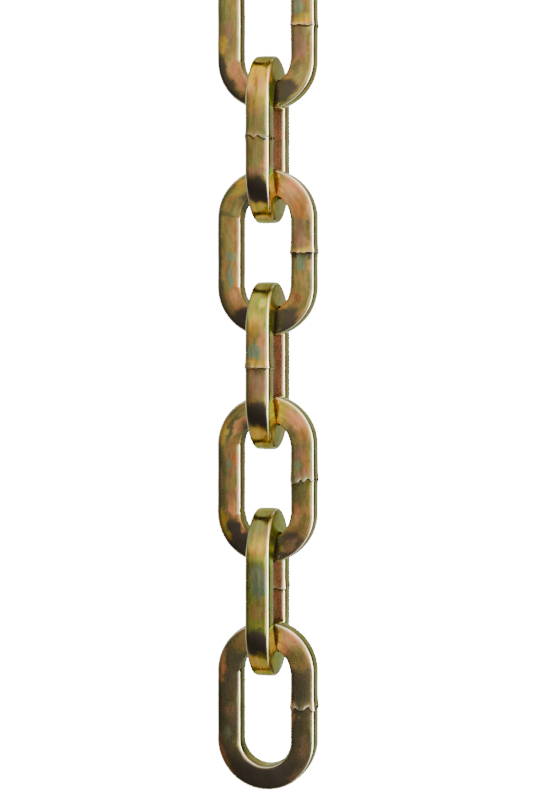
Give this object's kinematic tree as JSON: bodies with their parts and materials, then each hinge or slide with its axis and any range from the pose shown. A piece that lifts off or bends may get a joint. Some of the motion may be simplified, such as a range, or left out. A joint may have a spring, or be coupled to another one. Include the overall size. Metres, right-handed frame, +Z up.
{
  "type": "length of square-section steel security chain",
  "caption": "Straight length of heavy welded steel chain with square-section links in yellow zinc plate, for locking or securing things together.",
  "frame": {"origin": "on the floor, under the middle of the straight chain", "axes": "+X along the chain towards its free end, +Z up; odd links face -Y and up, even links face +Y and up"},
  "size_m": [0.9972, 0.0272, 0.0273],
  "materials": {
    "yellow_zinc_steel": "bright yellow zinc plating, olive gold with pink, copper and green tints"
  },
  "bodies": {
    "link_01": {"link_01": "yellow_zinc_steel"},
    "link_02": {"link_02": "yellow_zinc_steel"},
    "link_03": {"link_03": "yellow_zinc_steel"},
    "link_04": {"link_04": "yellow_zinc_steel"},
    "link_05": {"link_05": "yellow_zinc_steel"},
    "link_06": {"link_06": "yellow_zinc_steel"},
    "link_07": {"link_07": "yellow_zinc_steel"},
    "link_08": {"link_08": "yellow_zinc_steel"},
    "link_09": {"link_09": "yellow_zinc_steel"},
    "link_10": {"link_10": "yellow_zinc_steel"},
    "link_11": {"link_11": "yellow_zinc_steel"},
    "link_12": {"link_12": "yellow_zinc_steel"},
    "link_13": {"link_13": "yellow_zinc_steel"},
    "link_14": {"link_14": "yellow_zinc_steel"},
    "link_15": {"link_15": "yellow_zinc_steel"},
    "link_16": {"link_16": "yellow_zinc_steel"},
    "link_17": {"link_17": "yellow_zinc_steel"},
    "link_18": {"link_18": "yellow_zinc_steel"},
    "link_19": {"link_19": "yellow_zinc_steel"},
    "link_20": {"link_20": "yellow_zinc_steel"},
    "link_21": {"link_21": "yellow_zinc_steel"},
    "link_22": {"link_22": "yellow_zinc_steel"},
    "link_23": {"link_23": "yellow_zinc_steel"},
    "link_24": {"link_24": "yellow_zinc_steel"},
    "link_25": {"link_25": "yellow_zinc_steel"},
    "link_26": {"link_26": "yellow_zinc_steel"},
    "link_27": {"link_27": "yellow_zinc_steel"}
  },
  "joints": [
    {"name": "link_02_swing", "type": "hinge", "parent": "link_01", "child": "link_02", "pos_m": [-0.44634, 0, 0.01364], "axis": [0, -0.7071, -0.7071], "range_deg": [-90, 90]},
    {"name": "link_03_swing", "type": "hinge", "parent": "link_02", "child": "link_03", "pos_m": [-0.41006, 0, 0.01364], "axis": [0, 0.7071, -0.7071], "range_deg": [-90, 90]},
    {"name": "link_04_swing", "type": "hinge", "parent": "link_03", "child": "link_04", "pos_m": [-0.37378, 0, 0.01364], "axis": [0, 0.7071, 0.7071], "range_deg": [-90, 90]},
    {"name": "link_05_swing", "type": "hinge", "parent": "link_04", "child": "link_05", "pos_m": [-0.3375, 0, 0.01364], "axis": [0, -0.7071, 0.7071], "range_deg": [-90, 90]},
    {"name": "link_06_swing", "type": "hinge", "parent": "link_05", "child": "link_06", "pos_m": [-0.30122, 0, 0.01364], "axis": [0, -0.7071, -0.7071], "range_deg": [-90, 90]},
    {"name": "link_07_swing", "type": "hinge", "parent": "link_06", "child": "link_07", "pos_m": [-0.26495, 0, 0.01364], "axis": [0, 0.7071, -0.7071], "range_deg": [-90, 90]},
    {"name": "link_08_swing", "type": "hinge", "parent": "link_07", "child": "link_08", "pos_m": [-0.22867, 0, 0.01364], "axis": [0, 0.7071, 0.7071], "range_deg": [-90, 90]},
    {"name": "link_09_swing", "type": "hinge", "parent": "link_08", "child": "link_09", "pos_m": [-0.19239, 0, 0.01364], "axis": [0, -0.7071, 0.7071], "range_deg": [-90, 90]},
    {"name": "link_10_swing", "type": "hinge", "parent": "link_09", "child": "link_10", "pos_m": [-0.15611, 0, 0.01364], "axis": [0, -0.7071, -0.7071], "range_deg": [-90, 90]},
    {"name": "link_11_swing", "type": "hinge", "parent": "link_10", "child": "link_11", "pos_m": [-0.11983, 0, 0.01364], "axis": [0, 0.7071, -0.7071], "range_deg": [-90, 90]},
    {"name": "link_12_swing", "type": "hinge", "parent": "link_11", "child": "link_12", "pos_m": [-0.08356, 0, 0.01364], "axis": [0, 0.7071, 0.7071], "range_deg": [-90, 90]},
    {"name": "link_13_swing", "type": "hinge", "parent": "link_12", "child": "link_13", "pos_m": [-0.04728, 0, 0.01364], "axis": [0, -0.7071, 0.7071], "range_deg": [-90, 90]},
    {"name": "link_14_swing", "type": "hinge", "parent": "link_13", "child": "link_14", "pos_m": [-0.011, 0, 0.01364], "axis": [0, -0.7071, -0.7071], "range_deg": [-90, 90]},
    {"name": "link_15_swing", "type": "hinge", "parent": "link_14", "child": "link_15", "pos_m": [0.02528, 0, 0.01364], "axis": [0, 0.7071, -0.7071], "range_deg": [-90, 90]},
    {"name": "link_16_swing", "type": "hinge", "parent": "link_15", "child": "link_16", "pos_m": [0.06156, 0, 0.01364], "axis": [0, 0.7071, 0.7071], "range_deg": [-90, 90]},
    {"name": "link_17_swing", "type": "hinge", "parent": "link_16", "child": "link_17", "pos_m": [0.09783, 0, 0.01364], "axis": [0, -0.7071, 0.7071], "range_deg": [-90, 90]},
    {"name": "link_18_swing", "type": "hinge", "parent": "link_17", "child": "link_18", "pos_m": [0.13411, 0, 0.01364], "axis": [0, -0.7071, -0.7071], "range_deg": [-90, 90]},
    {"name": "link_19_swing", "type": "hinge", "parent": "link_18", "child": "link_19", "pos_m": [0.17039, 0, 0.01364], "axis": [0, 0.7071, -0.7071], "range_deg": [-90, 90]},
    {"name": "link_20_swing", "type": "hinge", "parent": "link_19", "child": "link_20", "pos_m": [0.20667, 0, 0.01364], "axis": [0, 0.7071, 0.7071], "range_deg": [-90, 90]},
    {"name": "link_21_swing", "type": "hinge", "parent": "link_20", "child": "link_21", "pos_m": [0.24295, 0, 0.01364], "axis": [0, -0.7071, 0.7071], "range_deg": [-90, 90]},
    {"name": "link_22_swing", "type": "hinge", "parent": "link_21", "child": "link_22", "pos_m": [0.27922, 0, 0.01364], "axis": [0, -0.7071, -0.7071], "range_deg": [-90, 90]},
    {"name": "link_23_swing", "type": "hinge", "parent": "link_22", "child": "link_23", "pos_m": [0.3155, 0, 0.01364], "axis": [0, 0.7071, -0.7071], "range_deg": [-90, 90]},
    {"name": "link_24_swing", "type": "hinge", "parent": "link_23", "child": "link_24", "pos_m": [0.35178, 0, 0.01364], "axis": [0, 0.7071, 0.7071], "range_deg": [-90, 90]},
    {"name": "link_25_swing", "type": "hinge", "parent": "link_24", "child": "link_25", "pos_m": [0.38806, 0, 0.01364], "axis": [0, -0.7071, 0.7071], "range_deg": [-90, 90]},
    {"name": "link_26_swing", "type": "hinge", "parent": "link_25", "child": "link_26", "pos_m": [0.42434, 0, 0.01364], "axis": [0, -0.7071, -0.7071], "range_deg": [-90, 90]},
    {"name": "link_27_swing", "type": "hinge", "parent": "link_26", "child": "link_27", "pos_m": [0.46061, 0, 0.01364], "axis": [0, 0.7071, -0.7071], "range_deg": [-90, 90]}
  ]
}
